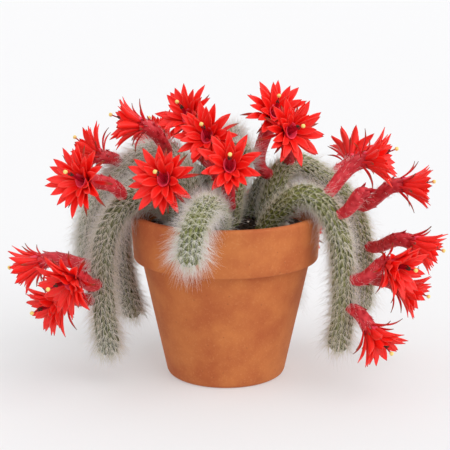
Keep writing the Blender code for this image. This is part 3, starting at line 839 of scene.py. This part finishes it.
def fuzzMesh(name, route, widths, count):
    # fine pale hairs that stand off the tube and point to its mouth
    ahead = unit(np.gradient(route, axis=0))
    spots = dice.uniform(0.06, 0.95, count)
    index = np.minimum((spots * (len(route) - 1)).astype(int), len(route) - 2)
    sideways = unit(np.cross(ahead[index], dice.normal(size=(count, 3))))
    onAxis = route[index] + (route[index + 1] - route[index]) * dice.random((count, 1))
    roots = onAxis + sideways * (widths[index] - 0.0002)[:, None]
    heading = unit(sideways + ahead[index] * dice.uniform(0.3, 1.6, (count, 1)))
    steps = np.linspace(0, 1, 3)[None, :, None]
    bend = dice.normal(0, 0.2, (count, 1, 3))
    lengths = dice.uniform(0.0020, 0.0046, (count, 1, 1))
    paths = roots[:, None] + lengths * (heading[:, None] * steps + bend * steps ** 2)
    return sweptMesh(name, hairRing, paths, np.tile([0.00010, 0.00008, 0.00003], (count, 1)))


def makeTube(name, route, look, node):
    # the fleshy body of a flower's tube or of the bud, with its scales and hairs
    widths = np.interp(np.linspace(0, 1, len(route)), look["shares"], look["widths"])
    shape = bmesh.new()
    addSwept(shape, sweptMesh(name + " body", roundRing, [route], [widths]), 0)
    addScales(shape, route, widths, look)
    addSwept(shape, fuzzMesh(name + " fuzz", route, widths, look["fuzz"]), 2)
    mesh = bpy.data.meshes.new(name)
    shape.to_mesh(mesh)
    shape.free()
    mesh.shade_smooth()
    addPiece(name, mesh, [tubeSkin, scaleSkin, tubeFuzz], node)


# The heart: half the section of its cup as (radius, height), then its threads.
heartLook = {
    "cup": ((0.0044, -0.0010), (0.0040, 0.0020), (0.0044, 0.0050), (0.0041, 0.0056), (0.0038, 0.0050),
            (0.0032, 0.0020), (0.0012, -0.0004)),
    "stamens": 16,
    "stamenHeights": (0.0140, 0.0172),
    "stamenLean": 0.0036,
    "antherSize": (0.0005, 0.0005, 0.0009),
    "styleRadius": 0.0005,
    "styleEnd": (0.0045, 0, 0.0222),
    "stigmaRadius": 0.0015,
}


def makeHeart(name, place, node):
    # the throat, the bunch of stamens that leans to the upper side, and the style with its stigma
    shape = bmesh.new()
    points = [shape.verts.new((radius, 0, height)) for radius, height in heartLook["cup"]]
    edges = [shape.edges.new(pair) for pair in zip(points, points[1:] + points[:1])]
    bmesh.ops.spin(shape, geom=points + edges, cent=(0, 0, 0), axis=(0, 0, 1),
                   angle=2 * math.pi, steps=20, use_merge=True)
    bmesh.ops.remove_doubles(shape, verts=shape.verts, dist=1e-6)
    bmesh.ops.recalc_face_normals(shape, faces=shape.faces)
    for vert in shape.verts:
        vert.co.x = vert.co.x * 1.4 + 0.0004 + vert.co.z * 0.12     # the cup is oval and leans up
    threads, widths = [], []
    for thread in range(heartLook["stamens"]):
        turn, spread = dice.random() * 2 * math.pi, dice.uniform(0.2, 1)
        foot = Vector((0.0019 * math.cos(turn), 0.0019 * math.sin(turn), 0)) * spread
        height = dice.uniform(*heartLook["stamenHeights"])
        top = Vector((heartLook["stamenLean"], 0, height)) + foot * 0.75
        threads.append([foot, foot.lerp(top, 0.35) + Vector((-0.0003, 0, 0.0006)), foot.lerp(top, 0.7), top])
        widths.append([0.00030, 0.00028, 0.00026, 0.00022])
    styleEnd = Vector(heartLook["styleEnd"])
    threads.append([Vector((0, 0, 0)), Vector((0.0012, 0, 0.008)), Vector((0.0030, 0, 0.0155)), styleEnd])
    widths.append([heartLook["styleRadius"]] * 4)
    addSwept(shape, sweptMesh(name + " threads", threadRing, np.array(threads), np.array(widths)), 1)
    for thread in threads[:-1]:
        cap = Matrix.LocRotScale(thread[-1], (thread[-1] - thread[-2]).to_track_quat("Z", "Y"),
                                 Vector(heartLook["antherSize"]))
        made = bmesh.ops.create_icosphere(shape, subdivisions=1, radius=1, matrix=cap)["verts"]
        for face in {face for vert in made for face in vert.link_faces}:
            face.material_index = 2
    ball = bmesh.ops.create_icosphere(shape, subdivisions=2, radius=heartLook["stigmaRadius"],
                                      matrix=Matrix.Translation(styleEnd))
    for vert in ball["verts"]:
        vert.co += (vert.co - styleEnd) * 0.35 * noise.noise(vert.co * 1400)
    for face in {face for vert in ball["verts"] for face in vert.link_faces}:
        face.material_index = 3
    shape.transform(place)
    mesh = bpy.data.meshes.new(name)
    shape.to_mesh(mesh)
    shape.free()
    mesh.shade_smooth()
    addPiece(name, mesh, [throatSkin, filamentSkin, antherSkin, stigmaSkin], node)


for number, (stemName, share, reach, faces, lean) in enumerate(flowerPlan, 1):
    title = f"flower_{number:02d}"
    route, mouth, facing = flowerRoute(stems[stemName], share, reach, faces)
    place = faceFrame(mouth, facing)
    makeTube(f"{title}_scaly_tube", route, tubeLook, f"{title}_tube")
    makePetals(f"{title}_blades", place, lean, f"{title}_petals")
    makeHeart(f"{title}_heart", place, f"{title}_petals")

budRoute = flowerRoute(stems[budPlan[0]], *budPlan[1:])[0]
makeTube("closed_bud", budRoute, budLook, "flower_bud")
print("flowers made")


studioLook = {
    "floorSize": 60,            # half of its side
    "floorGlow": 0.32,
    "roomLight": 0.92,
    "keyLight": 1.50,
    "keySpread": 65,            # degrees of sky that the key light fills: wide, so that its shadow is soft
    "keyPlace": (0.9, -0.7, 1.1),
    "cameraPlace": (-0.0007, -0.804, 0.292),
    "cameraDip": 12.66,         # degrees below level
    "lens": 89.4,
}


def makeStudio():
    shape = bmesh.new()
    bmesh.ops.create_grid(shape, x_segments=1, y_segments=1, size=studioLook["floorSize"])
    mesh = bpy.data.meshes.new("studio_floor")
    shape.to_mesh(mesh)
    shape.free()
    floor = bpy.data.objects.new("studio_floor", mesh)
    scene.collection.objects.link(floor)
    paper = makePlain("matt white paper, lit from below", "#C0C0C1", 0.9)
    glow = paper.node_tree.nodes["Principled BSDF"].inputs
    glow["Emission Color"].default_value = linearColour("#FAFAFA")
    glow["Emission Strength"].default_value = studioLook["floorGlow"]
    mesh.materials.append(paper)
    scene.view_settings.view_transform = "Standard"      # plain colours, as a catalogue picture has them
    world = bpy.data.worlds.new("soft white room")
    world.use_nodes = True
    world.node_tree.nodes["Background"].inputs["Color"].default_value = linearColour("#F9F9FA")
    world.node_tree.nodes["Background"].inputs["Strength"].default_value = studioLook["roomLight"]
    scene.world = world
    lamp = bpy.data.lights.new("large soft key light", "SUN")
    lamp.energy, lamp.angle = studioLook["keyLight"], math.radians(studioLook["keySpread"])
    light = bpy.data.objects.new("large soft key light", lamp)
    light.location = studioLook["keyPlace"]
    light.rotation_euler = (-light.location).to_track_quat("-Z", "Y").to_euler()
    scene.collection.objects.link(light)
    lens = bpy.data.cameras.new("studio camera")
    lens.lens, lens.sensor_width = studioLook["lens"], 36
    camera = bpy.data.objects.new("studio camera", lens)
    camera.location = studioLook["cameraPlace"]
    camera.rotation_euler = (math.radians(90 - studioLook["cameraDip"]), 0, 0)
    scene.collection.objects.link(camera)
    scene.camera = camera


makeStudio()
print("studio set")
